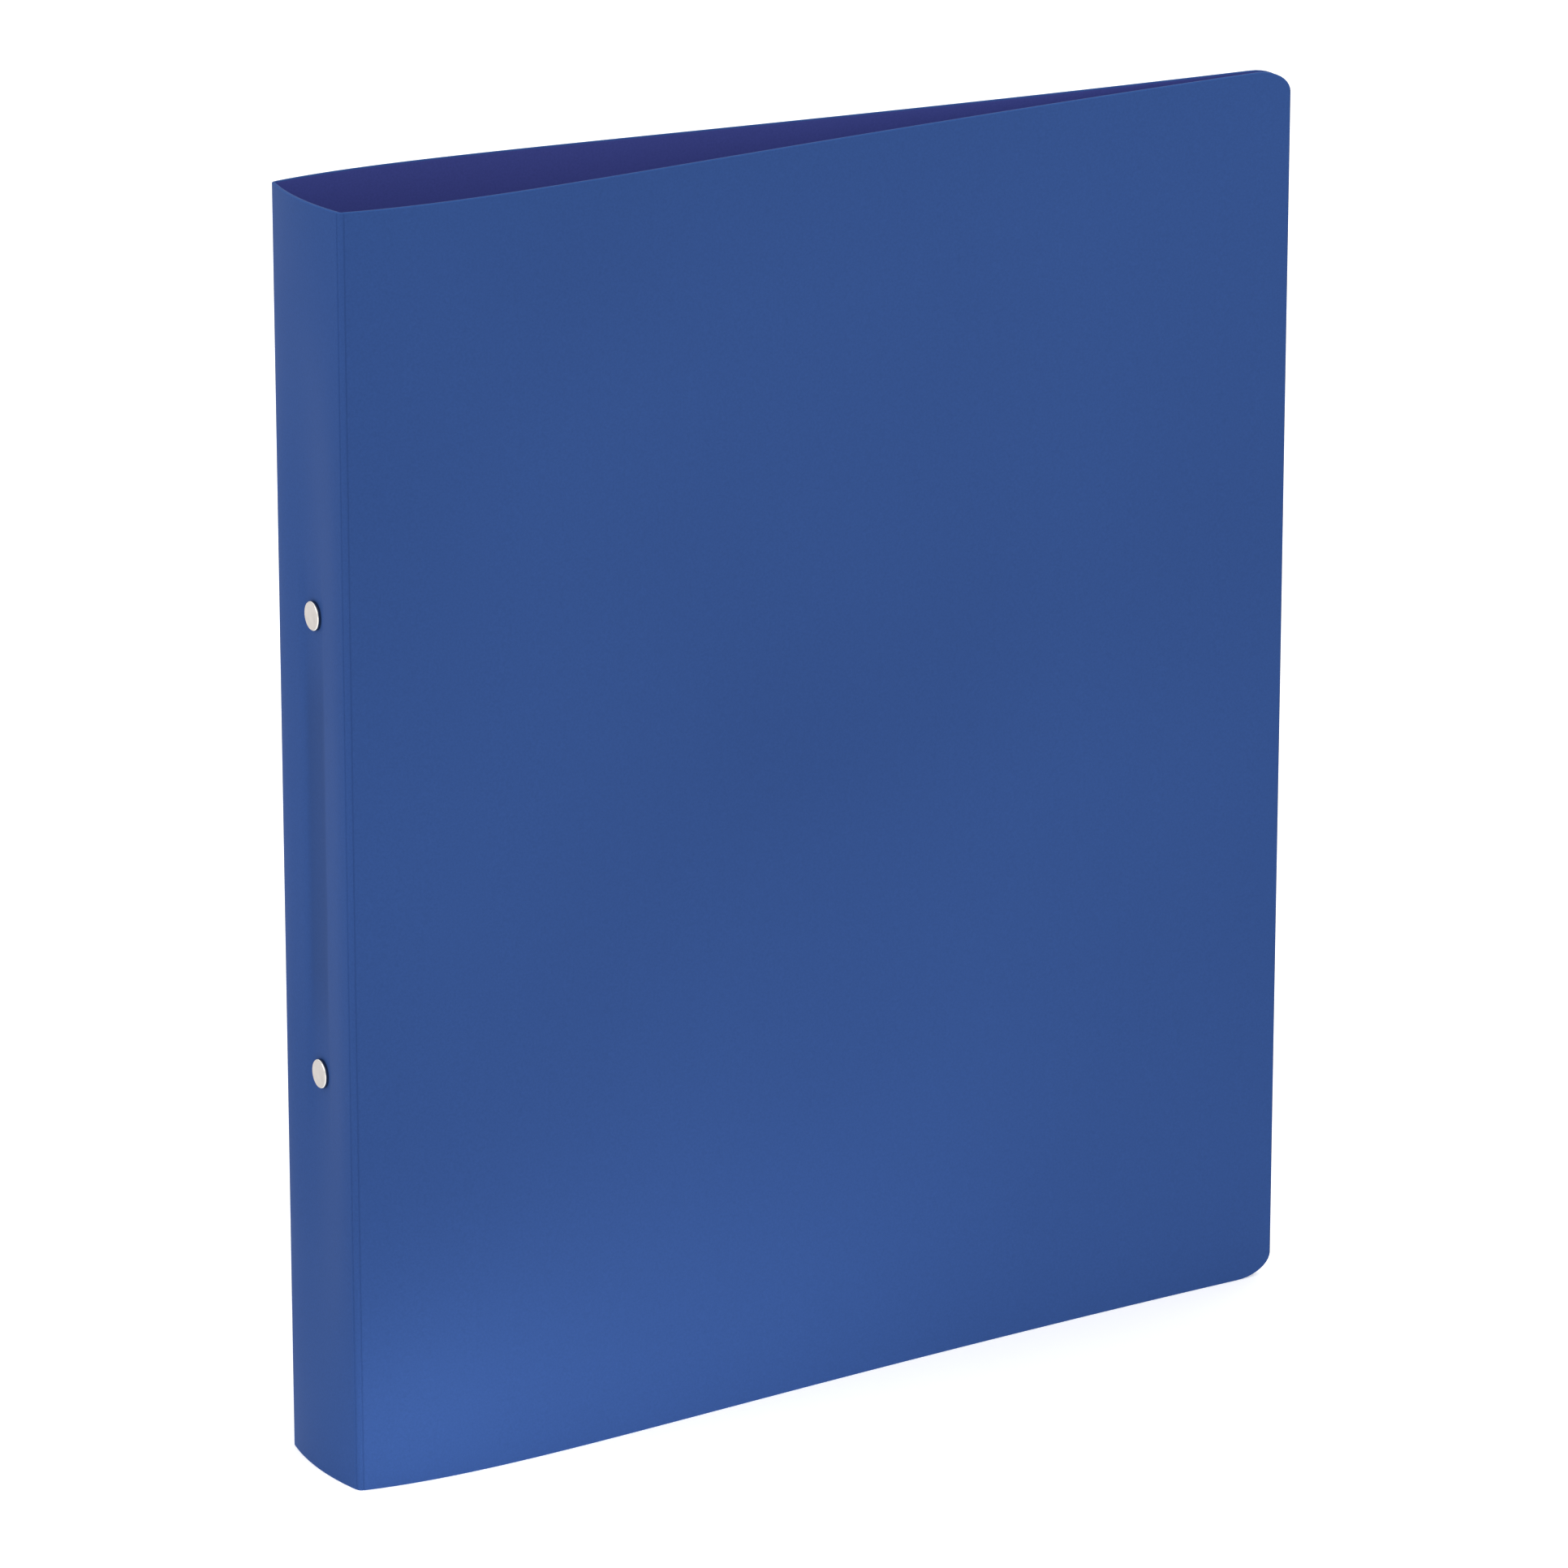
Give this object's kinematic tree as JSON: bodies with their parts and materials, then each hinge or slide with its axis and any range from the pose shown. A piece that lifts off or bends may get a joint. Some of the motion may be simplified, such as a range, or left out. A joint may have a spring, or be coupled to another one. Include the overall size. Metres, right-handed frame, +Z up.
{
  "type": "ring binder",
  "caption": "A4 ring binder: a folded plastic cover with living hinges and a ring mechanism riveted inside its spine.",
  "frame": {"origin": "below the middle of the binder's box, on the plane of the lower edges that it stands on", "axes": "+Z up the spine, +X from the spine towards the fore-edge, +Y towards the back cover, so the front cover faces -Y"},
  "size_m": [0.2754, 0.0412, 0.32],
  "materials": {
    "cover_sheet": "satin",
    "nickel_steel": "satin"
  },
  "bodies": {
    "spine": {"spine": "cover_sheet", "front_hinge_web": "cover_sheet", "back_hinge_web": "cover_sheet", "arch_plate": "nickel_steel", "upper_rivet": "nickel_steel", "lower_rivet": "nickel_steel", "upper_spacer": "nickel_steel", "lower_spacer": "nickel_steel"},
    "front_cover": {"front_cover": "cover_sheet"},
    "back_cover": {"back_cover": "cover_sheet"},
    "front_rail": {"front_rail": "nickel_steel", "upper_ring_front_half": "nickel_steel", "lower_ring_front_half": "nickel_steel"},
    "back_rail": {"back_rail": "nickel_steel", "upper_ring_back_half": "nickel_steel", "lower_ring_back_half": "nickel_steel"}
  },
  "joints": [
    {"name": "front_cover_hinge", "type": "hinge", "parent": "spine", "child": "front_cover", "pos_m": [-0.13506, -0.0173, 0], "axis": [0, 0, -1], "range_deg": [0, 180]},
    {"name": "back_cover_hinge", "type": "hinge", "parent": "spine", "child": "back_cover", "pos_m": [-0.13506, 0.0173, 0], "axis": [0, 0, 1], "range_deg": [0, 180]},
    {"name": "front_rail_pivot", "type": "hinge", "parent": "spine", "child": "front_rail", "pos_m": [-0.13235, -0.0076, 0], "axis": [0, 0, -1], "range_deg": [0, 16]},
    {"name": "back_rail_pivot", "type": "hinge", "parent": "spine", "child": "back_rail", "pos_m": [-0.13235, 0.0076, 0], "axis": [0, 0, 1], "range_deg": [0, 16]}
  ],
  "couplings": [
    {"joint": "back_rail_pivot", "follows": "front_rail_pivot", "ratio": 1}
  ]
}
